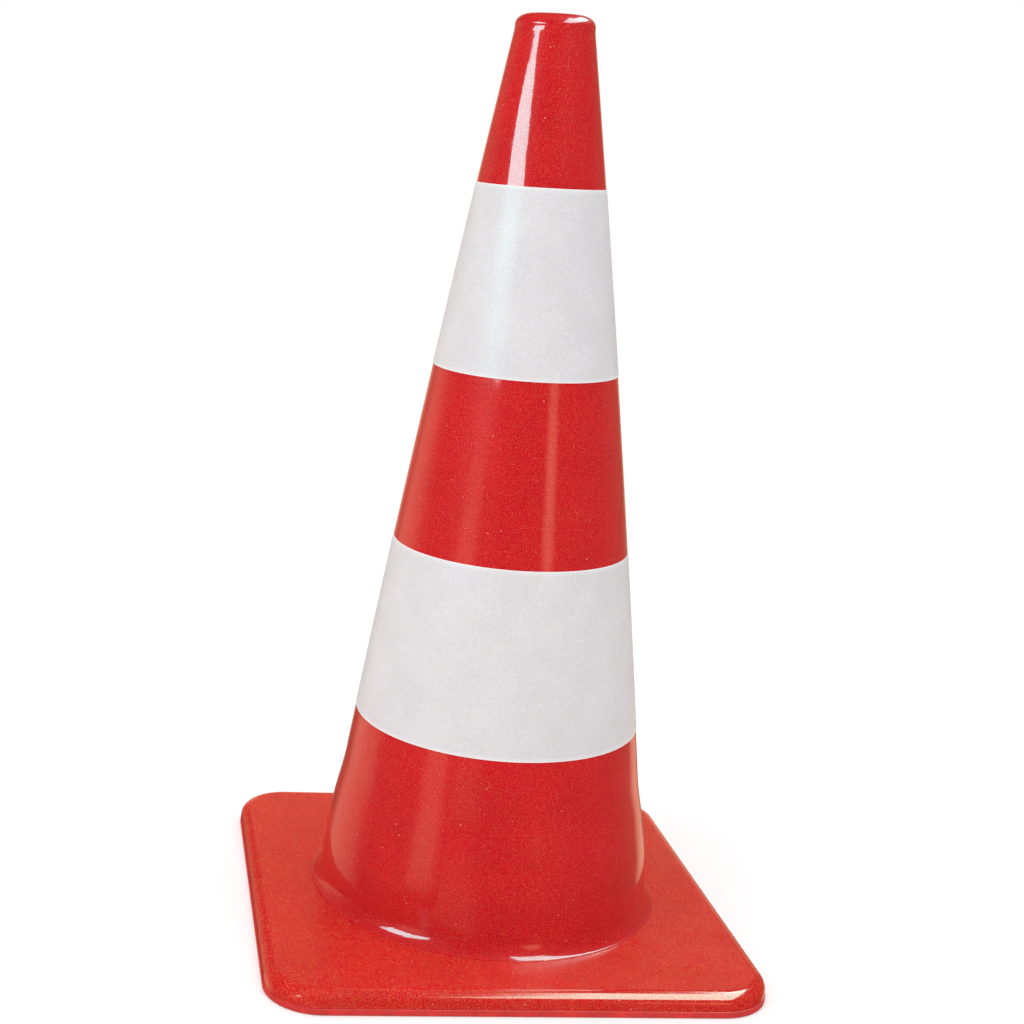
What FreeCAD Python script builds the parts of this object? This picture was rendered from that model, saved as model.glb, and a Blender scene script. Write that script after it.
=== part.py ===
import FreeCAD, Part
import math
import os

# Road traffic cone, 750 mm tall, on a square weighted base.  Millimetres, +Z up.
# The origin is the middle of the underside, on the axis of the cone.

os.makedirs("parts", exist_ok=True)

V = FreeCAD.Vector
ORIGIN = V(0, 0, 0)
UP = V(0, 0, 1)

# ---- driving dimensions -------------------------------------------------------------------
HEIGHT = 750.0             # floor to the top of the lip
WALL = 3.0                 # flexible PVC wall of the cone

LIP_REACH = 12.4           # domed lip, measured inwards from the collar
LIP_RISE = 9.0             # and upwards
LIP_THICKNESS = 4.0
LIP_INNER_ROUND = 3.0
MOUTH_RADIUS = 18.0        # open mouth at the top
COLLAR_RADIUS = 31.5       # straight collar just under the lip
COLLAR_FOOT = 738.0

TAPER_MID = (88.2, 385.0)  # radius and height half-way down the bulged taper
TAPER_FOOT = (124.9, 130.0)
SKIRT_SHOULDER = (131.9, 95.0)
SKIRT_MIDDLE = (137.3, 65.0)
SKIRT_FOOT = (140.6, 32.0)
SKIRT_FOOT_SLOPE = 0.11    # radius gained per millimetre of drop at the foot

FLANGE_RADIUS = 147.9
FLANGE_EDGE = 0.6           # thickness the flared foot runs out to
SPIGOT_WALL = 3.0
SPIGOT_GAP = 0.3           # between the spigot and the hole in the tray

BASE_HALF = 200.4          # half width of the tray
BASE_CORNER = 44.0         # plan radius of its corners
BASE_TOP = 18.6
BASE_ROUND = 10.0           # rounding along the top edge
TRAY_CEILING = 3.2
TRAY_WALL = 3.8
TRAY_LIP_ROUND = 0.4

SOLE_PROUD = 0.5           # the sole stands this far out beyond the tray
SOLE_RIM = 5.5             # height of the rim strip below the tray
SOLE_TOP_ROUND = 0.6
SOLE_BOTTOM_ROUND = 1.2
SOLE_HOLE_RADIUS = 138.7
CORE_GAP = 0.4             # between the filling and the tray's walls
GROOVE_DEPTH = 2.0
GROOVE_WIDTH = 6.0
EDGE_GROOVE_INSET = 12.0
RING_GROOVE_RADIUS = 149.7
FAN_ANGLES = (33.0, 45.0, 57.0)
FAN_START = 158.7
FAN_END = 214.0

FILM = 0.45                # thickness of the retroreflective film
UPPER_BAND = (471.1, 618.4)
LOWER_BAND = (175.1, 325.4)
LAP_ANGLE = 9.0            # overlap of the film at the back


# ---- helpers ------------------------------------------------------------------------------
def point(radius, height):
    return V(radius, 0, height)


def line(start, end):
    return Part.makeLine(start, end)


def arc(start, middle, end):
    return Part.Arc(start, middle, end).toShape()


def corner_middle(centre, corner, radius):
    """Middle of the arc of the given centre and radius, on the side of the corner."""
    way = corner.sub(centre)
    way.normalize()
    return centre.add(way.multiply(radius))


def revolve(edges, angle=360.0):
    face = Part.Face(Part.Wire(edges))
    return face.revolve(ORIGIN, UP, angle)


def rounded_square(half, corner, bottom, top):
    """Upright block with a square plan and rounded corners."""
    side = 2.0 * half
    block = Part.makeBox(side, side, top - bottom, V(-half, -half, bottom))
    upright = [e for e in block.Edges if abs(e.BoundBox.ZLength - (top - bottom)) < 1e-6]
    return block.makeFillet(corner, upright)


def rim_edges(shape, height):
    """Edges that lie flat at one height."""
    return [e for e in shape.Edges if e.BoundBox.ZLength < 1e-6 and abs(e.BoundBox.ZMin - height) < 1e-6]


def disc(radius, bottom, top):
    return Part.makeCylinder(radius, top - bottom, V(0, 0, bottom), UP)


# ---- the bulged taper, a circle through three points --------------------------------------
TAPER = Part.Circle(point(COLLAR_RADIUS, COLLAR_FOOT), point(*TAPER_MID), point(*TAPER_FOOT))


def taper_point(height, proud=0.0):
    """Point on the taper at a height, moved out square to the surface."""
    rise = height - TAPER.Center.z
    run = math.sqrt(TAPER.Radius ** 2 - rise ** 2)
    scale = (TAPER.Radius + proud) / TAPER.Radius
    return V(TAPER.Center.x + run * scale, 0, TAPER.Center.z + rise * scale)


def skirt(inset):
    """Curve of the swelling skirt, from the taper's foot down to the skirt's foot."""
    stops = [TAPER_FOOT, SKIRT_SHOULDER, SKIRT_MIDDLE, SKIRT_FOOT]
    points = [point(radius - inset, height) for radius, height in stops]
    rise = TAPER_FOOT[1] - TAPER.Center.z
    run = TAPER_FOOT[0] - TAPER.Center.x
    start_way = V(rise / run, 0, -1)
    end_way = V(SKIRT_FOOT_SLOPE, 0, -1)
    curve = Part.BSplineCurve()
    curve.interpolate(Points=points, InitialTangent=start_way, FinalTangent=end_way)
    return curve.toShape()


def foot_flare():
    """Hollow curve from the skirt's foot out to the thin edge that lies on the base."""
    start = point(*SKIRT_FOOT)
    end = point(FLANGE_RADIUS, BASE_TOP + FLANGE_EDGE)
    handle = start.distanceToPoint(end) / 3
    down = V(SKIRT_FOOT_SLOPE, 0, -1).normalize()
    curve = Part.BezierCurve()
    curve.setPoles([start, start.add(down.multiply(handle)), end.sub(V(handle, 0, 0)), end])
    return curve.toShape()


# ---- cone body ----------------------------------------------------------------------------
def make_cone_body():
    lip_centre = point(COLLAR_RADIUS - LIP_REACH, HEIGHT - LIP_RISE)
    lip_top = point(COLLAR_RADIUS - LIP_REACH, HEIGHT)
    lip_side = point(COLLAR_RADIUS, HEIGHT - LIP_RISE)
    dome = Part.ArcOfEllipse(Part.Ellipse(lip_side, lip_top, lip_centre), 0.0, math.pi / 2)
    inner_radius = COLLAR_RADIUS - WALL
    lip_under = HEIGHT - LIP_THICKNESS
    inner_centre = point(inner_radius - LIP_INNER_ROUND, lip_under - LIP_INNER_ROUND)
    inner_middle = corner_middle(inner_centre, point(inner_radius, lip_under), LIP_INNER_ROUND)

    spigot_in = SKIRT_FOOT[0] + SKIRT_FOOT_SLOPE * (SKIRT_FOOT[1] - BASE_TOP) - WALL
    spigot_out = spigot_in + SPIGOT_WALL
    inner_foot = point(SKIRT_FOOT[0] - WALL, SKIRT_FOOT[1])
    inner_mid = taper_point(TAPER_MID[1], -WALL)
    inner_taper_foot = point(TAPER_FOOT[0] - WALL, TAPER_FOOT[1])
    inner_collar_foot = point(inner_radius, COLLAR_FOOT)

    outside = [
        line(point(MOUTH_RADIUS, HEIGHT), lip_top),
        dome.toShape(),
        line(lip_side, point(COLLAR_RADIUS, COLLAR_FOOT)),
        arc(point(COLLAR_RADIUS, COLLAR_FOOT), point(*TAPER_MID), point(*TAPER_FOOT)),
        skirt(0.0),
        foot_flare(),
        line(point(FLANGE_RADIUS, BASE_TOP + FLANGE_EDGE), point(FLANGE_RADIUS, BASE_TOP)),
    ]
    under = [
        line(point(FLANGE_RADIUS, BASE_TOP), point(spigot_out, BASE_TOP)),
        line(point(spigot_out, BASE_TOP), point(spigot_out, SOLE_RIM)),
        line(point(spigot_out, SOLE_RIM), point(spigot_in, SOLE_RIM)),
        line(point(spigot_in, SOLE_RIM), point(spigot_in, BASE_TOP)),
    ]
    inside = [
        line(point(spigot_in, BASE_TOP), inner_foot),
        skirt(WALL),
        arc(inner_taper_foot, inner_mid, inner_collar_foot),
        line(inner_collar_foot, point(inner_radius, lip_under - LIP_INNER_ROUND)),
        arc(point(inner_radius, lip_under - LIP_INNER_ROUND), inner_middle,
            point(inner_radius - LIP_INNER_ROUND, lip_under)),
        line(point(inner_radius - LIP_INNER_ROUND, lip_under), point(MOUTH_RADIUS, lip_under)),
        line(point(MOUTH_RADIUS, lip_under), point(MOUTH_RADIUS, HEIGHT)),
    ]
    return revolve(outside + under + inside), spigot_out


# ---- base ---------------------------------------------------------------------------------
def make_base_shell(spigot_out):
    hole = spigot_out + SPIGOT_GAP
    ring = hole + TRAY_WALL
    ceiling = BASE_TOP - TRAY_CEILING
    block = rounded_square(BASE_HALF, BASE_CORNER, SOLE_RIM, BASE_TOP)
    block = block.makeFillet(BASE_ROUND, rim_edges(block, BASE_TOP))
    block = block.makeFillet(TRAY_LIP_ROUND, rim_edges(block, SOLE_RIM))
    cavity = rounded_square(BASE_HALF - TRAY_WALL, BASE_CORNER - TRAY_WALL, SOLE_RIM, ceiling)
    cavity = cavity.makeFillet(BASE_ROUND - TRAY_WALL, rim_edges(cavity, ceiling))
    cavity = cavity.cut(disc(ring, SOLE_RIM, ceiling))
    return block.cut(cavity).cut(disc(hole, SOLE_RIM, BASE_TOP)), ring


def groove_ring(radius):
    outer = disc(radius + GROOVE_WIDTH / 2, 0, GROOVE_DEPTH)
    return outer.cut(disc(radius - GROOVE_WIDTH / 2, 0, GROOVE_DEPTH))


def groove_square(half, corner):
    outer = rounded_square(half, corner, 0, GROOVE_DEPTH)
    return outer.cut(rounded_square(half - GROOVE_WIDTH, corner - GROOVE_WIDTH, 0, GROOVE_DEPTH))


def groove_bar(angle):
    bar = Part.makeBox(FAN_END - FAN_START, GROOVE_WIDTH, GROOVE_DEPTH, V(FAN_START, -GROOVE_WIDTH / 2, 0))
    bar.rotate(ORIGIN, UP, angle)
    return bar


def make_base_sole(ring):
    half = BASE_HALF + SOLE_PROUD
    plate = rounded_square(half, BASE_CORNER + SOLE_PROUD, 0, SOLE_RIM)
    plate = plate.makeFillet(SOLE_TOP_ROUND, rim_edges(plate, SOLE_RIM))
    plate = plate.makeFillet(SOLE_BOTTOM_ROUND, rim_edges(plate, 0))
    inset = TRAY_WALL + CORE_GAP
    core_top = BASE_TOP - TRAY_CEILING - CORE_GAP
    core = rounded_square(BASE_HALF - inset, BASE_CORNER - inset, SOLE_RIM, core_top)
    core = core.makeFillet(BASE_ROUND - inset, rim_edges(core, core_top))
    core = core.cut(disc(ring + CORE_GAP, SOLE_RIM, core_top))
    sole = plate.fuse(core).cut(disc(SOLE_HOLE_RADIUS, 0, SOLE_RIM))
    sole = sole.cut(groove_ring(RING_GROOVE_RADIUS))
    sole = sole.cut(groove_square(half - EDGE_GROOVE_INSET, BASE_CORNER - EDGE_GROOVE_INSET))
    for quarter in range(4):
        for angle in FAN_ANGLES:
            sole = sole.cut(groove_bar(angle + 90.0 * quarter))
    return sole.removeSplitter()


# ---- reflective bands ---------------------------------------------------------------------
def film_ring(bottom, top, inner, outer, angle):
    middle = (bottom + top) / 2
    edges = [
        arc(taper_point(bottom, inner), taper_point(middle, inner), taper_point(top, inner)),
        line(taper_point(top, inner), taper_point(top, outer)),
        arc(taper_point(top, outer), taper_point(middle, outer), taper_point(bottom, outer)),
        line(taper_point(bottom, outer), taper_point(bottom, inner)),
    ]
    return revolve(edges, angle)


def make_band(limits):
    bottom, top = limits
    ring = film_ring(bottom, top, 0.0, FILM, 360.0)
    lap = film_ring(bottom, top, FILM, 2 * FILM, LAP_ANGLE)
    lap.rotate(ORIGIN, UP, 90.0 - LAP_ANGLE / 2)
    return ring.fuse(lap)


# ---- write the nodes ----------------------------------------------------------------------
cone_body, spigot_out = make_cone_body()
base_shell, ring = make_base_shell(spigot_out)
nodes = {
    "cone_body": cone_body,
    "base_shell": base_shell,
    "base_sole": make_base_sole(ring),
    "upper_band": make_band(UPPER_BAND),
    "lower_band": make_band(LOWER_BAND),
}
for name, shape in nodes.items():
    solids = len(shape.Solids)
    print(name, shape.ShapeType, "solids", solids, "valid", shape.isValid(), "volume", round(shape.Volume))
    shape.exportStep("parts/" + name + ".step")
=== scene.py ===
"""Looks of a road traffic cone, 750 mm tall: glossy red PVC, two white reflective bands, a square base.

Metres, +Z up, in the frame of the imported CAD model.  Profiles are written in millimetres.
"""

import math

import bmesh
import bpy
from mathutils import Matrix, Vector


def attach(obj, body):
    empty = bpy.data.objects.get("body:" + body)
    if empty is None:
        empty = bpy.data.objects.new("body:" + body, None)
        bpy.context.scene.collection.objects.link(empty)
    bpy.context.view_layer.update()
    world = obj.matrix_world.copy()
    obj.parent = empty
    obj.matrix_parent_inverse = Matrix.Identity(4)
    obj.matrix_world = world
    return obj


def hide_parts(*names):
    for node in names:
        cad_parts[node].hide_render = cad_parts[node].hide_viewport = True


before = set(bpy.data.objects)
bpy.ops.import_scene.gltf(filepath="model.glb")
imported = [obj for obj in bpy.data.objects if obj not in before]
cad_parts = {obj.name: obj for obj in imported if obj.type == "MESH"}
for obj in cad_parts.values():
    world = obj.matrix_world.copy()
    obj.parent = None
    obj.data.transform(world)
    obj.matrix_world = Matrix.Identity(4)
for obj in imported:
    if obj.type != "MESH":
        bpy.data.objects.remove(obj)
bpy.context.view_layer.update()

MM = 0.001

# ---- dimensions of the object, in millimetres ---------------------------------------------
HEIGHT = 750.0
WALL = 3.0
LIP_REACH = 12.4
LIP_RISE = 9.0
LIP_THICKNESS = 4.0
LIP_INNER_ROUND = 3.0
MOUTH_RADIUS = 18.0
MOUTH_EDGE = 0.6
COLLAR_RADIUS = 31.5
COLLAR_FOOT = 738.0
COLLAR_BLEND = 2.6

TAPER_MID = (88.2, 385.0)
TAPER_FOOT = (124.9, 130.0)
SKIRT_SHOULDER = (131.9, 95.0)
SKIRT_MIDDLE = (137.3, 65.0)
SKIRT_FOOT = (140.6, 32.0)
SKIRT_FOOT_SLOPE = 0.11

FLANGE_RADIUS = 147.9
FLANGE_EDGE = 0.6
FLANGE_ROUND = 0.25
FLARE_PULL = 0.4
SPIGOT_WALL = 3.0
SPIGOT_GAP = 0.3

BASE_HALF = 200.4
BASE_CORNER = 44.0
BASE_TOP = 18.6
BASE_ROUND = 10.0
TRAY_CEILING = 3.2
TRAY_WALL = 3.8
TRAY_LIP_ROUND = 0.4
SOLE_RIM = 5.5
SPIGOT_OUT = SKIRT_FOOT[0] + SKIRT_FOOT_SLOPE * (SKIRT_FOOT[1] - BASE_TOP)
FLAT_MARGIN = 0.4
FOOT_MARGIN = 1.0

FILM = 0.45
FILM_EDGE = 0.2
UPPER_BAND = (471.1, 618.4)
LOWER_BAND = (175.1, 325.4)
LAP_ANGLE = 9.0
LAP_CUT = 0.12
LAP_SLOPE = 2.2

SEGMENTS = 512
RING_STEP = 8.0
SHARP = math.radians(40)
WEAR_REACH = 9.0
# Painted highlight on the films: how far in from each edge, in mm, it falls to half and to nothing.
FILM_HIGHLIGHT_FADE = (1.5, 4.0)


# ---- curves -------------------------------------------------------------------------------
def circle_through(a, b, c):
    """Centre and radius of the circle through three points."""
    d = 2 * (a[0] * (b[1] - c[1]) + b[0] * (c[1] - a[1]) + c[0] * (a[1] - b[1]))
    sa, sb, sc = (p[0] ** 2 + p[1] ** 2 for p in (a, b, c))
    x = (sa * (b[1] - c[1]) + sb * (c[1] - a[1]) + sc * (a[1] - b[1])) / d
    y = (sa * (c[0] - b[0]) + sb * (a[0] - c[0]) + sc * (b[0] - a[0])) / d
    return (x, y), math.hypot(a[0] - x, a[1] - y)


TAPER_TOP = (COLLAR_RADIUS, COLLAR_FOOT)
TAPER_CENTRE, TAPER_RADIUS = circle_through(TAPER_TOP, TAPER_MID, TAPER_FOOT)


def taper(height, proud=0.0):
    """Point on the bulged taper at a height, moved out square to the surface."""
    rise = height - TAPER_CENTRE[1]
    run = math.sqrt(TAPER_RADIUS ** 2 - rise ** 2)
    scale = (TAPER_RADIUS + proud) / TAPER_RADIUS
    return TAPER_CENTRE[0] + run * scale, TAPER_CENTRE[1] + rise * scale


def spaced(start, end, step):
    """Values from start to end, about a step apart, both ends included."""
    count = max(1, round(abs(end - start) / step))
    return [start + (end - start) * i / count for i in range(count + 1)]


def rounding(centre, radius, start, end, steps=10, squash=1.0):
    """Points of an arc, angles in degrees from the outward direction."""
    angles = [math.radians(start + (end - start) * i / steps) for i in range(steps + 1)]
    return [(centre[0] + radius * math.cos(a), centre[1] + radius * squash * math.sin(a)) for a in angles]


def hermite(p, q, way_p, way_q, steps, pull=1.0):
    """Points of a smooth curve from p to q, leaving along way_p and arriving along way_q."""
    length = math.dist(p, q)
    way_q = (way_q[0] * pull, way_q[1] * pull)
    found = []
    for i in range(steps + 1):
        t = i / steps
        a, b = 2 * t ** 3 - 3 * t ** 2 + 1, (t ** 3 - 2 * t ** 2 + t) * length
        c, d = 3 * t ** 2 - 2 * t ** 3, (t ** 3 - t ** 2) * length
        found.append(tuple(a * p[k] + b * way_p[k] + c * q[k] + d * way_q[k] for k in (0, 1)))
    return found


def unit(x, y):
    """Direction of length one."""
    length = math.hypot(x, y)
    return x / length, y / length


def skirt(inset):
    """The swelling skirt, from the taper's foot down to the skirt's foot."""
    stops = [(r - inset, h) for r, h in (TAPER_FOOT, SKIRT_SHOULDER, SKIRT_MIDDLE, SKIRT_FOOT)]
    rise = TAPER_FOOT[1] - TAPER_CENTRE[1]
    run = TAPER_FOOT[0] - TAPER_CENTRE[0]
    ways = [unit(rise / run, -1)]
    ways += [unit(c[0] - a[0], c[1] - a[1]) for a, c in zip(stops, stops[2:])]
    ways += [unit(SKIRT_FOOT_SLOPE, -1)]
    found = [stops[0]]
    for k in range(len(stops) - 1):
        found += hermite(stops[k], stops[k + 1], ways[k], ways[k + 1], 12)[1:]
    return found


# ---- meshes -------------------------------------------------------------------------------
def mesh_object(name, points, faces, wear_and_highlight):
    """A smooth mesh from points in millimetres, riding on the body, with a value from 0 to 1 at each point:
    wear on the cone and base, painted edge highlight on the films.
    """
    mesh = bpy.data.meshes.new(name)
    mesh.from_pydata([(x * MM, y * MM, z * MM) for x, y, z in points], [], faces)
    shape = bmesh.new()
    shape.from_mesh(mesh)
    bmesh.ops.recalc_face_normals(shape, faces=shape.faces)
    shape.to_mesh(mesh)
    shape.free()
    mesh.polygons.foreach_set("use_smooth", [True] * len(mesh.polygons))
    mesh.set_sharp_from_angle(angle=SHARP)
    layer = mesh.attributes.new("wear_and_highlight", "FLOAT", "POINT")
    layer.data.foreach_set("value", wear_and_highlight)
    obj = bpy.data.objects.new(name, mesh)
    bpy.context.scene.collection.objects.link(obj)
    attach(obj, "root")
    return obj


def loft(name, rings, wear_and_highlight):
    """Closed skin through rings of equal count, the last joined back to the first."""
    count = len(rings[0])
    points = [p for ring in rings for p in ring]
    faces = []
    for i in range(len(rings)):
        low, high = i * count, (i + 1) % len(rings) * count
        for k in range(count):
            after = (k + 1) % count
            faces.append((low + k, low + after, high + after, high + k))
    return mesh_object(name, points, faces, [w for w in wear_and_highlight for _ in range(count)])


def circle(radius, height):
    """Ring of points around the axis."""
    turns = [2 * math.pi * k / SEGMENTS for k in range(SEGMENTS)]
    return [(radius * math.cos(a), radius * math.sin(a), height) for a in turns]


def wear_along(profile, edges, reach):
    """How close each profile point is to a worn edge, 0 to 1."""
    found = []
    for p in profile:
        near = min(math.dist(p, e) for e in edges)
        found.append(max(0.0, 1.0 - near / reach))
    return found


# ---- cone body ----------------------------------------------------------------------------
def cone_profile():
    """The closed section of the cone, and the two edges that wear."""
    flange_top = BASE_TOP + FLANGE_EDGE
    flare_end = (FLANGE_RADIUS - FLANGE_ROUND, flange_top)
    flare_way = unit(SKIRT_FOOT_SLOPE, -1)
    lip_centre = (COLLAR_RADIUS - LIP_REACH, HEIGHT - LIP_RISE)
    edge_centre = (FLANGE_RADIUS - FLANGE_ROUND, flange_top - FLANGE_ROUND)
    spigot_in = SPIGOT_OUT - SPIGOT_WALL
    inner = COLLAR_RADIUS - WALL
    lip_under = HEIGHT - LIP_THICKNESS
    inner_centre = (inner - LIP_INNER_ROUND, lip_under - LIP_INNER_ROUND)
    mouth_high = (MOUTH_RADIUS + MOUTH_EDGE, HEIGHT - MOUTH_EDGE)
    mouth_low = (MOUTH_RADIUS + MOUTH_EDGE, lip_under + MOUTH_EDGE)

    blend_top = (COLLAR_RADIUS, COLLAR_FOOT + COLLAR_BLEND)
    blend_foot = taper(COLLAR_FOOT - COLLAR_BLEND)
    taper_way = unit(COLLAR_FOOT - TAPER_CENTRE[1], -(COLLAR_RADIUS - TAPER_CENTRE[0]))

    outside = rounding(mouth_high, MOUTH_EDGE, 180, 90, 4)
    outside += rounding(lip_centre, LIP_REACH, 90, 0, 28, LIP_RISE / LIP_REACH)
    outside += hermite(blend_top, blend_foot, (0, -1), taper_way, 16)
    outside += [taper(h) for h in spaced(COLLAR_FOOT - COLLAR_BLEND, TAPER_FOOT[1], RING_STEP)][1:]
    outside += skirt(0.0)[1:]
    outside += hermite(SKIRT_FOOT, flare_end, flare_way, (1.0, 0.0), 48, FLARE_PULL)[1:-1]
    outside += rounding(edge_centre, FLANGE_ROUND, 90, 0, 4)
    outside += [(FLANGE_RADIUS, BASE_TOP)]
    under = [(SPIGOT_OUT, BASE_TOP), (SPIGOT_OUT, SOLE_RIM), (spigot_in, SOLE_RIM)]
    inside = [(SKIRT_FOOT[0] - WALL, SKIRT_FOOT[1])]
    inside += list(reversed(skirt(WALL)))[1:]
    inside += [taper(h, -WALL) for h in spaced(TAPER_FOOT[1], COLLAR_FOOT, 2 * RING_STEP)][1:-1]
    inside += rounding(inner_centre, LIP_INNER_ROUND, 0, 90, 6)
    inside += rounding(mouth_low, MOUTH_EDGE, 270, 180, 3)
    edges = [(COLLAR_RADIUS, HEIGHT - LIP_RISE / 2), (FLANGE_RADIUS, flange_top)]
    return outside + under + inside, edges


cone_points, cone_edges = cone_profile()
cone = loft(
    "cone_skin",
    [circle(r, h) for r, h in cone_points],
    wear_along(cone_points, cone_edges, WEAR_REACH),
)
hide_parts("cone_body")


# ---- base shell ---------------------------------------------------------------------------
def square_ring(half, corner, height):
    """Ring of a square with rounded corners, its points shared out along each quarter."""
    quarter = SEGMENTS // 4
    bend = quarter // 2
    straight = (quarter - bend) // 2
    middle = half - corner
    ring = []
    for turn in range(4):
        spin = Matrix.Rotation(turn * math.pi / 2, 3, "Z")
        side = [(half, middle * i / straight) for i in range(straight)]
        for i in range(bend):
            a = math.pi / 2 * i / bend
            side.append((middle + corner * math.cos(a), middle + corner * math.sin(a)))
        side += [(middle * (straight - i) / straight, half) for i in range(quarter - bend - straight)]
        ring += [tuple(spin @ Vector((x, y, height))) for x, y in side]
    return ring


def base_rings():
    """The rings of the tray, out over its edge, back underneath and up through the hole, with wear."""
    hole = SPIGOT_OUT + SPIGOT_GAP
    ring_wall = hole + TRAY_WALL
    ceiling = BASE_TOP - TRAY_CEILING
    section = []
    for dx, dz in rounding((0.0, 0.0), BASE_ROUND, 90, 0, 18):
        section.append((BASE_ROUND - dx, BASE_TOP - BASE_ROUND + dz, 1.0))
    for dx, dz in rounding((0.0, 0.0), TRAY_LIP_ROUND, 0, -90, 5):
        section.append((TRAY_LIP_ROUND - dx, SOLE_RIM + TRAY_LIP_ROUND + dz, 0.6))
    section += [(TRAY_WALL, SOLE_RIM, 0.0), (TRAY_WALL, ceiling, 0.0)]
    shell = [(square_ring(BASE_HALF - inset, BASE_CORNER - inset, h), w) for inset, h, w in section]
    inset = BASE_ROUND + FLAT_MARGIN
    flat = square_ring(BASE_HALF - inset, BASE_CORNER - inset, BASE_TOP)
    around = [math.atan2(p[1], p[0]) for p in flat]

    def round_ring(radius, height):
        return [(radius * math.cos(a), radius * math.sin(a), height) for a in around]

    inner = [(round_ring(ring_wall, ceiling), 0.0), (round_ring(ring_wall, SOLE_RIM), 0.0)]
    inner += [(round_ring(hole, SOLE_RIM), 0.0), (round_ring(hole, BASE_TOP), 0.0)]
    inner += [(round_ring(FLANGE_RADIUS + FOOT_MARGIN, BASE_TOP), 0.0), (flat, 0.3)]
    found = shell + inner
    return [ring for ring, _ in found], [w for _, w in found]


base = loft("base_skin", *base_rings())
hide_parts("base_shell")


# ---- reflective bands ---------------------------------------------------------------------
def lap_height(angle):
    """Extra thickness where the film's end lies over its start, 0 to 1, angle in degrees."""
    half = LAP_ANGLE / 2
    cut = min(1.0, max(0.0, (angle + half) / LAP_CUT))
    slope = min(1.0, max(0.0, (half - angle) / LAP_SLOPE))
    return cut * slope * slope * (3 - 2 * slope)


def band(name, limits):
    """Film wrapped round the taper, its lap at the back, its edges softly rounded, each row given the
    strength of the painted edge highlight.
    """
    bottom, top = limits
    half = LAP_ANGLE / 2
    angles = spaced(-180.0, 180.0, 360.0 / SEGMENTS)[:-1]
    angles += [-half, -half + LAP_CUT / 2, -half + LAP_CUT]
    angles += [half - LAP_SLOPE * i / 6 for i in range(7)]
    angles = sorted(set(angles))
    heights = spaced(bottom, top, RING_STEP)
    highlight_half, highlight_gone = FILM_HIGHLIGHT_FADE
    bends = [1.0 - math.cos(math.radians(a)) for a in (0, 30, 60)]
    curl = [(FILM_EDGE * (1 - math.sqrt(1 - (1 - b) ** 2)), FILM - FILM_EDGE * b) for b in bends]
    # The third value of each row is the painted edge highlight: full at the edges, half 1.5 mm in, gone 4 mm
    # in.
    section = [(h, 0.0, 0.0) for h in heights]
    section += [(top, FILM - FILM_EDGE, 1.0)]
    section += [(top - inward, proud, 1.0) for inward, proud in reversed(curl)]
    section += [(top - highlight_half, FILM, 0.5), (top - highlight_gone, FILM, 0.0)]
    section += [(h, FILM, 0.0) for h in reversed(heights[2:-2])]
    section += [(bottom + highlight_gone, FILM, 0.0), (bottom + highlight_half, FILM, 0.5)]
    section += [(bottom + inward, proud, 1.0) for inward, proud in curl]
    section += [(bottom, FILM - FILM_EDGE, 1.0)]
    rings = []
    for h, proud, _ in section:
        ring = []
        for a in angles:
            extra = FILM * lap_height(a) if proud > 0 else 0.0
            r, z = taper(h, proud + extra)
            turn = math.radians(a + 90.0)
            ring.append((r * math.cos(turn), r * math.sin(turn), z))
        rings.append(ring)
    return loft(name, rings, [w for _, _, w in section])


upper = band("upper_film", UPPER_BAND)
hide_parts("upper_band")
lower = band("lower_film", LOWER_BAND)
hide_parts("lower_band")


# ---- materials ----------------------------------------------------------------------------
class Graph:
    """Small helper around a node tree."""

    def __init__(self, tree):
        self.tree = tree
        tree.nodes.clear()

    def add(self, kind, inputs=None, **settings):
        made = self.tree.nodes.new(kind)
        for key, value in settings.items():
            setattr(made, key, value)
        for key, value in (inputs or {}).items():
            self.put(made.inputs[key], value)
        return made

    def output(self, shader, kind="ShaderNodeOutputMaterial"):
        self.put(self.add(kind).inputs[0], shader.outputs[0])

    def put(self, socket, value):
        if isinstance(value, bpy.types.NodeSocket):
            self.tree.links.new(value, socket)
        else:
            socket.default_value = value

    def math(self, operation, a, b=0.0, clamp=False):
        made = self.add("ShaderNodeMath", {0: a, 1: b}, operation=operation, use_clamp=clamp)
        return made.outputs[0]

    def ramp(self, value, low, high, to_low=0.0, to_high=1.0, smooth=True):
        kind = "SMOOTHSTEP" if smooth else "LINEAR"
        inputs = {"Value": value, 1: low, 2: high, 3: to_low, 4: to_high}
        return self.add("ShaderNodeMapRange", inputs, interpolation_type=kind).outputs[0]

    def mix(self, share, a, b):
        made = self.add("ShaderNodeMix", data_type="RGBA")
        self.put(made.inputs[0], share)
        self.put(made.inputs[6], a)
        self.put(made.inputs[7], b)
        return made.outputs[2]

    def shade(self, colour, factor):
        """Colour times a grey factor."""
        made = self.add("ShaderNodeVectorMath", {0: colour}, operation="SCALE")
        self.put(made.inputs["Scale"], factor)
        return made.outputs[0]

    def stretched(self, vector, scale, turn=(0, 0, 0)):
        inputs = {"Vector": vector, "Rotation": turn, "Scale": scale}
        return self.add("ShaderNodeMapping", inputs).outputs[0]

    def noise(self, vector, scale, detail=2.0, roughness=0.5):
        inputs = {"Vector": vector, "Scale": scale, "Detail": detail, "Roughness": roughness}
        return self.add("ShaderNodeTexNoise", inputs).outputs[0]

    def cells(self, vector, scale):
        made = self.add("ShaderNodeTexVoronoi", {"Vector": vector, "Scale": scale})
        return made.outputs["Distance"], made.outputs["Color"]

    def scratches(self, vector, scale, turn, width, patch):
        """Sparse hair-thin lines."""
        line = self.noise(self.stretched(vector, scale, turn), 1.0, 1.0)
        near = self.math("ABSOLUTE", self.math("SUBTRACT", line, 0.5))
        thin = self.ramp(near, 0.0, width, 1.0, 0.0)
        where = self.ramp(self.noise(vector, patch, 1.0), 0.55, 0.68)
        return self.math("MULTIPLY", thin, where)


def new_material(name):
    """A material and the graph to build it in."""
    material = bpy.data.materials.new(name)
    material.use_nodes = True
    return material, Graph(material.node_tree)


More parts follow.
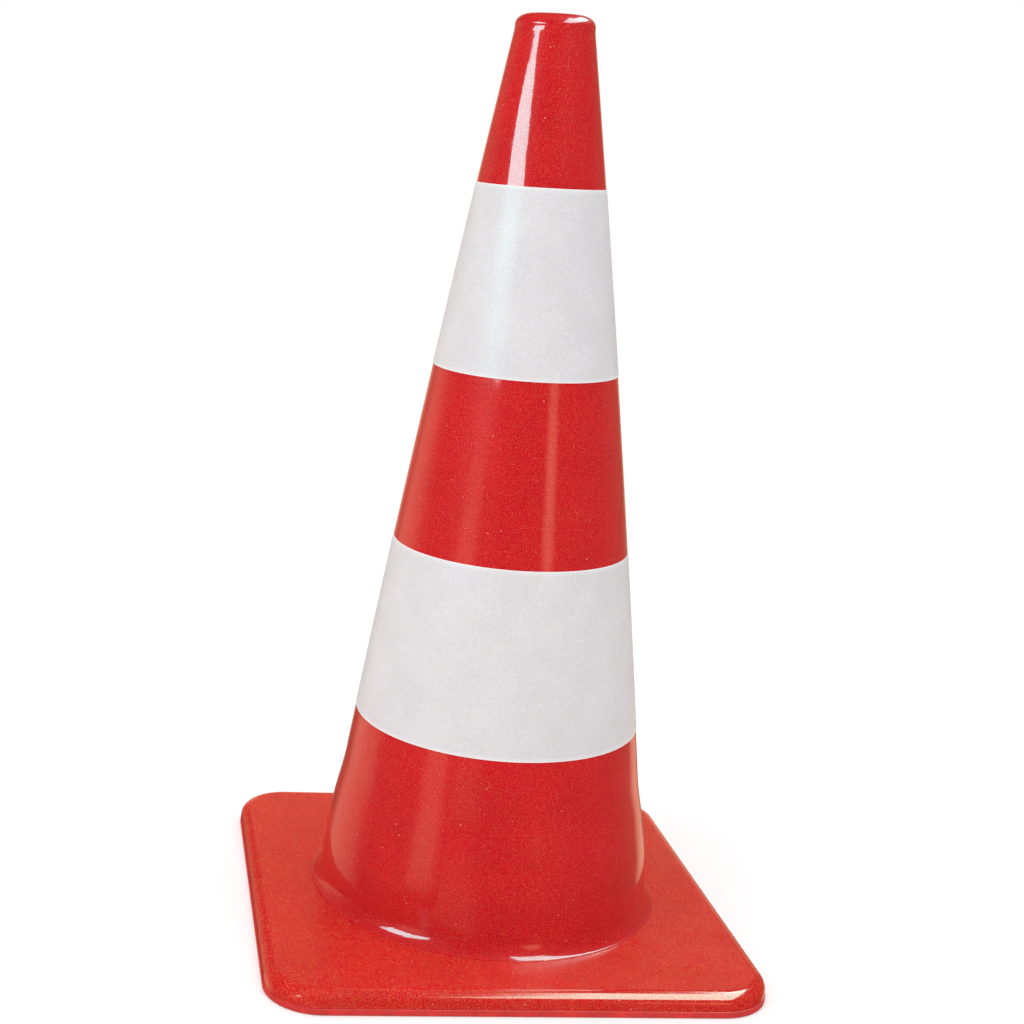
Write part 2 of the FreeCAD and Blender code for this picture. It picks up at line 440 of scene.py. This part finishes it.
def specks(g, where, scale, radius, keep):
    """Tiny round marks, in a share of the cells."""
    distance, colour = g.cells(where, scale)
    spot = g.ramp(distance, radius * 0.5, radius, 1.0, 0.0)
    lot = g.add("ShaderNodeSeparateColor", {0: colour}).outputs[0]
    chosen = g.math("GREATER_THAN", lot, 1 - keep)
    return g.math("MULTIPLY", spot, chosen)


def glossy_pvc(name, colours, gloss, polish, coat, peel, coarse=1.0, lie=(0.0, 0.0, 0.0)):
    """Glossy pigmented PVC: mottled and grained, with dust specks, hair scratches and rubbed edges.

    The polish is the roughness of the flats and of the edges, the coat its weight on both and its roughness.
    """
    red, orange, gleam = colours
    flat_coat, edge_coat, coat_roughness = coat
    material, g = new_material(name)
    where = g.add("ShaderNodeTexCoord").outputs["Object"]
    mottle = g.ramp(g.noise(where, 22.0, 3.0), 0.3, 0.7, 0.96, 1.04)
    fine = g.stretched(where, (1.0, 1.0 / coarse, 1.0))
    grain = g.ramp(g.noise(fine, 900.0, 2.0, 0.7), 0.3, 0.7, 0.9, 1.1)
    shade = g.math("MULTIPLY", mottle, grain)
    tint = g.ramp(g.noise(fine, 1200.0, 2.0, 0.6), 0.46, 0.66, 0.0, 1.0)
    body = g.shade(g.mix(tint, red, orange), shade)
    dust = specks(g, where, 110.0, 0.08, 0.35)
    fine_dust = specks(g, where, 190.0, 0.09, 0.35)
    drawn = g.stretched(where, (1.0, 1.0, 1.0), lie)
    upright = g.scratches(drawn, (420.0, 420.0, 9.0), (0.5, 0.2, 0.0), 0.006, 9.0)
    across = g.scratches(drawn, (300.0, 300.0, 14.0), (1.3, 0.7, 0.4), 0.005, 13.0)
    hair = g.math("MAXIMUM", upright, across)
    wear_and_highlight = g.add("ShaderNodeAttribute", attribute_name="wear_and_highlight").outputs["Fac"]
    rub_noise = g.ramp(g.noise(where, 160.0, 4.0, 0.65), 0.48, 0.7)
    rub = g.math("MULTIPLY", g.math("MULTIPLY", wear_and_highlight, rub_noise), 0.05)
    marks = g.math("MAXIMUM", g.math("MULTIPLY", dust, 0.9), g.math("MULTIPLY", fine_dust, 0.65))
    marks = g.math("MAXIMUM", marks, g.math("MULTIPLY", hair, 0.22))
    marks = g.math("MAXIMUM", marks, rub, clamp=True)
    paint = g.mix(marks, body, (0.86, 0.36, 0.27, 1.0))
    smudge = g.ramp(g.noise(where, 34.0, 3.0), 0.35, 0.7, -0.03, 0.06)
    smooth = g.ramp(wear_and_highlight, 0.2, 0.9, *polish)
    rough = g.math("ADD", g.math("ADD", smudge, smooth), g.math("MULTIPLY", marks, 0.3), clamp=True)
    coat_weight = flat_coat if flat_coat == edge_coat else g.ramp(wear_and_highlight, 0.2, 0.9, flat_coat, edge_coat)
    swell = g.math("MULTIPLY", g.noise(where, 26.0, 1.0), peel)
    skin = g.math("MULTIPLY", g.noise(where, 150.0, 2.0), peel * 0.12)
    pits = g.math("MULTIPLY", marks, -0.00002)
    relief = g.math("ADD", g.math("ADD", swell, skin), pits)
    bump = g.add("ShaderNodeBump", {"Strength": 1.0, "Distance": 1.0, "Height": relief}).outputs[0]
    shader = g.add(
        "ShaderNodeBsdfPrincipled",
        {
            "Base Color": paint,
            "Roughness": rough,
            "IOR": 1.6,
            "Specular IOR Level": gloss,
            "Specular Tint": gleam,
            "Sheen Weight": 0.22,
            "Sheen Roughness": 0.4,
            "Sheen Tint": (1.0, 0.12, 0.06, 1.0),
            "Coat Weight": coat_weight,
            "Coat Roughness": coat_roughness,
            "Coat IOR": 1.5,
            "Normal": bump,
            "Coat Normal": bump,
        },
    )
    g.output(shader)
    return material


def reflective_film(name):
    """White retroreflective film: fine glass beads under a clear face, faint handling marks, and a painted
    highlight lightening it towards its edges.
    """
    material, g = new_material(name)
    where = g.add("ShaderNodeTexCoord").outputs["Object"]
    bead, bead_tone = g.cells(where, 1150.0)
    tone = g.add("ShaderNodeSeparateColor", {0: bead_tone}).outputs[0]
    beads = g.ramp(tone, 0.0, 1.0, 0.93, 1.05, smooth=False)
    cloud = g.ramp(g.noise(where, 30.0, 3.0), 0.3, 0.7, 0.975, 1.02)
    cast = g.ramp(g.noise(where, 1000.0, 1.0), 0.35, 0.65)
    white = g.mix(cast, (0.80, 0.775, 0.745, 1.0), (0.80, 0.775, 0.83, 1.0))
    body = g.shade(white, g.math("MULTIPLY", beads, cloud))
    dust = specks(g, where, 75.0, 0.035, 0.35)
    wear_and_highlight = g.add("ShaderNodeAttribute", attribute_name="wear_and_highlight").outputs["Fac"]
    paint = g.mix(g.math("MULTIPLY", dust, 0.3), body, (0.33, 0.3, 0.3, 1.0))
    # Painted highlight: the film is lightened towards white near its edges, up to three quarters of the way.
    paint = g.mix(g.math("MULTIPLY", wear_and_highlight, 0.75), paint, (0.97, 0.96, 0.96, 1.0))
    smudge = g.ramp(g.noise(where, 40.0, 2.0), 0.3, 0.7, 0.42, 0.52)
    relief = g.math("MULTIPLY", g.math("SUBTRACT", 1.0, bead), 0.00003)
    bump = g.add("ShaderNodeBump", {"Strength": 1.0, "Distance": 1.0, "Height": relief}).outputs[0]
    shader = g.add(
        "ShaderNodeBsdfPrincipled",
        {
            "Base Color": paint,
            "Roughness": smudge,
            "IOR": 1.5,
            "Specular IOR Level": 0.2,
            "Coat Weight": 0.1,
            "Coat Roughness": 0.2,
            "Coat IOR": 1.5,
            "Normal": bump,
        },
    )
    g.output(shader)
    return material


def satin_sole(name):
    """Satin filled PVC of the sole, dusty where it meets the ground."""
    material, g = new_material(name)
    where = g.add("ShaderNodeTexCoord").outputs["Object"]
    height = g.add("ShaderNodeSeparateXYZ", {0: where}).outputs[2]
    mottle = g.ramp(g.noise(where, 45.0, 4.0), 0.3, 0.7, 0.88, 1.1)
    grain = g.ramp(g.noise(where, 700.0, 2.0, 0.7), 0.25, 0.75, 0.85, 1.12)
    body = g.shade((0.78, 0.03, 0.024), g.math("MULTIPLY", mottle, grain))
    low = g.ramp(height, 0.0, 0.0016, 1.0, 0.0)
    dirt = g.math("MULTIPLY", low, g.ramp(g.noise(where, 120.0, 4.0, 0.6), 0.42, 0.7, 0.1, 0.75))
    scuffs = g.scratches(where, (260.0, 40.0, 260.0), (0.3, 0.0, 0.5), 0.012, 18.0)
    paint = g.mix(g.math("MULTIPLY", scuffs, 0.3), body, (0.7, 0.3, 0.24, 1.0))
    paint = g.mix(dirt, paint, (0.26, 0.17, 0.145, 1.0))
    rough = g.ramp(g.noise(where, 90.0, 3.0), 0.3, 0.7, 0.42, 0.6)
    relief = g.math("MULTIPLY", g.noise(where, 420.0, 3.0), 0.00006)
    bump = g.add("ShaderNodeBump", {"Strength": 1.0, "Distance": 1.0, "Height": relief}).outputs[0]
    shader = g.add(
        "ShaderNodeBsdfPrincipled",
        {"Base Color": paint, "Roughness": rough, "IOR": 1.45, "Normal": bump},
    )
    g.output(shader)
    return material


def dress(obj, material):
    """Give it this material alone."""
    obj.data.materials.clear()
    obj.data.materials.append(material)


# A pigment, its orange grain, and the tint of the mirrored light.
CONE_COLOURS = ((0.66, 0.003, 0.017, 1.0), (0.71, 0.062, 0.032, 1.0), (1.0, 0.8, 0.7, 1.0))
BASE_COLOURS = ((0.66, 0.0035, 0.0165, 1.0), (0.72, 0.105, 0.034, 1.0), (1.0, 0.66, 0.4, 1.0))
cone_look = glossy_pvc(
    "cone_pvc_look", CONE_COLOURS, gloss=0.06, polish=(0.36, 0.36), coat=(0.85, 0.85, 0.06), peel=0.0003
)
base_look = glossy_pvc(
    "base_pvc_look",
    BASE_COLOURS,
    gloss=0.34,
    polish=(0.3, 0.1),
    coat=(0.0, 0.4, 0.12),
    peel=0.00008,
    coarse=2.0,
    lie=(1.2, 0.3, 0.0),
)
dress(cone, cone_look)
dress(base, base_look)
film = reflective_film("film_look")
dress(upper, film)
dress(lower, film)
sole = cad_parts["base_sole"]
dress(sole, satin_sole("sole_look"))


# ---- floor and light ----------------------------------------------------------------------
def panel(name, corners):
    """Flat stage object with the given outline."""
    mesh = bpy.data.meshes.new(name)
    mesh.from_pydata([tuple(c) for c in corners], [], [tuple(range(len(corners)))])
    obj = bpy.data.objects.new(name, mesh)
    bpy.context.scene.collection.objects.link(obj)
    return obj


def plane(name, width, height):
    """Level rectangular panel around the origin."""
    corners = [(-1, -1), (1, -1), (1, 1), (-1, 1)]
    return panel(name, [(x * width / 2, y * height / 2, 0) for x, y in corners])


def mirrored_only(obj):
    """Show it in reflections and nowhere else."""
    obj.visible_camera = False
    obj.visible_diffuse = False
    obj.visible_glossy = True
    obj.visible_transmission = False
    obj.visible_shadow = False


AIM = Vector((0, 0, 0.42))
CROWN = Vector((0, 0, 0.68))
AMBIENT = 0.55
MIRRORED_FLOOR = 0.03
WARM = (1.0, 0.62, 0.42, 1.0)
COOL = (0.42, 1.0, 1.05, 1.0)
LIGHT_DISTANCE = 3.0
KEY_DISTANCE = 5.0


def towards(azimuth, elevation):
    """Direction seen from the object; azimuth 0 is the front, positive to the right, in degrees."""
    a, e = math.radians(azimuth), math.radians(elevation)
    return Vector((math.sin(a) * math.cos(e), -math.cos(a) * math.cos(e), math.sin(e)))


def aim(obj, azimuth, elevation):
    """Put it at the light distance in a direction, facing the object."""
    way = towards(azimuth, elevation)
    obj.rotation_euler = way.to_track_quat("Z", "Y").to_euler()
    obj.location = AIM + way * LIGHT_DISTANCE


def softbox(name, azimuth, elevation, width, height, radiance, soft):
    """Glowing panel with a soft border, seen in reflections only; sizes in degrees."""
    wide, high = (2 * LIGHT_DISTANCE * math.tan(math.radians(s) / 2) for s in (width, height))
    obj = plane(name, wide, high)
    aim(obj, azimuth, elevation)
    mirrored_only(obj)
    material, g = new_material(name + "_glow")
    where = g.add("ShaderNodeTexCoord").outputs["Object"]
    flat = g.stretched(where, (2 / wide, 2 / high, 1))
    x, y, _ = g.add("ShaderNodeSeparateXYZ", {0: flat}).outputs
    side = g.ramp(g.math("ABSOLUTE", x), 1 - soft, 1.0, 1.0, 0.0)
    fade = g.math("MULTIPLY", side, g.ramp(g.math("ABSOLUTE", y), 1 - soft, 1.0, 1.0, 0.0))
    strength = g.math("MULTIPLY", fade, radiance)
    g.output(g.add("ShaderNodeEmission", {"Color": WARM, "Strength": strength}))
    obj.data.materials.append(material)


def cut_box(name, corners, radiance):
    """Evenly glowing panel cut to an outline, seen in reflections only."""
    obj = panel(name, corners)
    mirrored_only(obj)
    material, g = new_material(name + "_glow")
    g.output(g.add("ShaderNodeEmission", {"Color": COOL, "Strength": radiance}))
    obj.data.materials.append(material)
    return obj


def unmirrored(name, light):
    """Object for a light that isn't seen in reflections."""
    obj = bpy.data.objects.new(name, light)
    bpy.context.scene.collection.objects.link(obj)
    obj.visible_camera = False
    obj.visible_glossy = False
    return obj


def lamp(name, azimuth, elevation, size, power):
    """Large soft lamp."""
    light = bpy.data.lights.new(name, "AREA")
    light.shape, light.size, light.energy = "DISK", size, power
    aim(unmirrored(name, light), azimuth, elevation)


def sun(name, elevation, spread, strength):
    """Even light from above, its spread in degrees."""
    light = bpy.data.lights.new(name, "SUN")
    light.angle, light.energy = math.radians(spread), strength
    aim(unmirrored(name, light), 0, elevation)


FLOOR_SIZE = 80.0

floor = plane("floor", FLOOR_SIZE, FLOOR_SIZE)
floor_look, g = new_material("floor_look")
surface = g.add("ShaderNodeBsdfDiffuse", {"Color": (0.9, 0.9, 0.9, 1.0)})
glow = g.add("ShaderNodeEmission", {"Strength": 0.1})
g.output(g.add("ShaderNodeAddShader", {0: surface.outputs[0], 1: glow.outputs[0]}))
floor.data.materials.append(floor_look)
floor.visible_glossy = False

world = bpy.data.worlds.new("studio")
bpy.context.scene.world = world
world.use_nodes = True
g = Graph(world.node_tree)
toward = g.add("ShaderNodeTexCoord").outputs["Generated"]


def facing(azimuth, elevation, low, high, strength):
    """Soft patch of light around one direction, between two cosines of the angle from it."""
    ways = {0: toward, 1: towards(azimuth, elevation)}
    near = g.add("ShaderNodeVectorMath", ways, operation="DOT_PRODUCT").outputs["Value"]
    return g.ramp(near, low, high, 0.0, strength)


patches = [
    facing(170, 2, 0.85, 0.99, 0.9),
    facing(-135, -5, 0.8, 0.97, 0.3),
    facing(-132, -16, 0.9, 0.985, 0.65),
    facing(137, -24, 0.96, 0.996, 1.0),
    facing(-12, -55, 0.8, 0.97, 0.35),
    facing(125, 0, 0.8, 0.98, 0.15),
    facing(-30, -17, 0.94, 0.99, 0.55),
]
mirrored = MIRRORED_FLOOR
for patch in patches:
    mirrored = g.math("ADD", patch, mirrored)
rays = g.add("ShaderNodeLightPath").outputs
levels = {0: rays["Is Glossy Ray"], 2: AMBIENT, 3: mirrored}
level = g.add("ShaderNodeMix", levels, data_type="FLOAT").outputs[0]
levels = {0: rays["Is Camera Ray"], 2: level, 3: 1.0}
level = g.add("ShaderNodeMix", levels, data_type="FLOAT").outputs[0]
colour = g.mix(rays["Is Glossy Ray"], (1.0, 1.0, 1.0, 1.0), WARM)
g.output(g.add("ShaderNodeBackground", {"Color": colour, "Strength": level}), "ShaderNodeOutputWorld")

# Outlines of the key light, in degrees of azimuth and elevation around the cone's crown.  The wide part
# is mirrored in the cone and its bands only, the narrow part in the base too.
key_outline = [(-69, 7), (-80, 15.8), (-78, 17.4), (-60, 21.6), (-54, 19.3), (-50, 17.58), (-50, 7)]
edge_outline = [(-50, 7), (-50, 17.58), (-44, 15), (-41, 7)]
key_box = cut_box("key_box", [CROWN + towards(a, e) * KEY_DISTANCE for a, e in key_outline], 17.0)
cut_box("key_edge", [CROWN + towards(a, e) * KEY_DISTANCE for a, e in edge_outline], 17.0)
mirrored_in = bpy.data.collections.new("key_mirrored_in")
for part in (cone, upper, lower):
    mirrored_in.objects.link(part)
key_box.light_linking.receiver_collection = mirrored_in
# Outline of the overhead light, in metres over the floor.
TOP_HEIGHT = 2.5
top_outline = [(0.62, -2.7), (2.1, -2.7), (2.1, 1.9), (1.15, 1.7), (1.0, 0.3), (0.62, 0.1)]
cut_box("top_box", [(x, y, TOP_HEIGHT) for x, y in top_outline], 15.0)
softbox("key_spill", -54, -6, 28, 32, 1.55, soft=0.8)
softbox("side_strip", 24, 4, 18, 26, 3.0, soft=0.9)
lamp("fill", -55, 30, 2.4, 14.0)
lamp("right_fill", 70, 8, 2.4, 2.0)
sun("overhead_sun", 88, 50, 1.45)


# ---- camera and view ----------------------------------------------------------------------
CAMERA_PLACE = Vector((-0.3179, -1.3967, 0.6728))
CAMERA_AZIMUTH = math.radians(5.97)
CAMERA_PITCH = math.radians(12.99)
CAMERA_ROLL = math.radians(3.47)
CAMERA_LENS = 61.63
CAMERA_SHIFT = (0.2, -0.0059)

camera_data = bpy.data.cameras.new("camera")
camera_data.sensor_width = 36.0
camera_data.lens = CAMERA_LENS
camera_data.shift_x, camera_data.shift_y = CAMERA_SHIFT
camera_data.clip_start = 0.05
camera = bpy.data.objects.new("camera", camera_data)
bpy.context.scene.collection.objects.link(camera)
forward = Vector(
    (
        math.sin(CAMERA_AZIMUTH) * math.cos(CAMERA_PITCH),
        math.cos(CAMERA_AZIMUTH) * math.cos(CAMERA_PITCH),
        -math.sin(CAMERA_PITCH),
    )
)
right = Vector((math.cos(CAMERA_AZIMUTH), -math.sin(CAMERA_AZIMUTH), 0))
above = right.cross(forward)
rolled_right = right * math.cos(CAMERA_ROLL) + above * math.sin(CAMERA_ROLL)
rolled_up = above * math.cos(CAMERA_ROLL) - right * math.sin(CAMERA_ROLL)
camera.matrix_world = Matrix.Translation(CAMERA_PLACE) @ Matrix(
    (rolled_right, rolled_up, -forward)
).transposed().to_4x4()
bpy.context.scene.camera = camera
bpy.context.scene.view_settings.view_transform = "Standard"
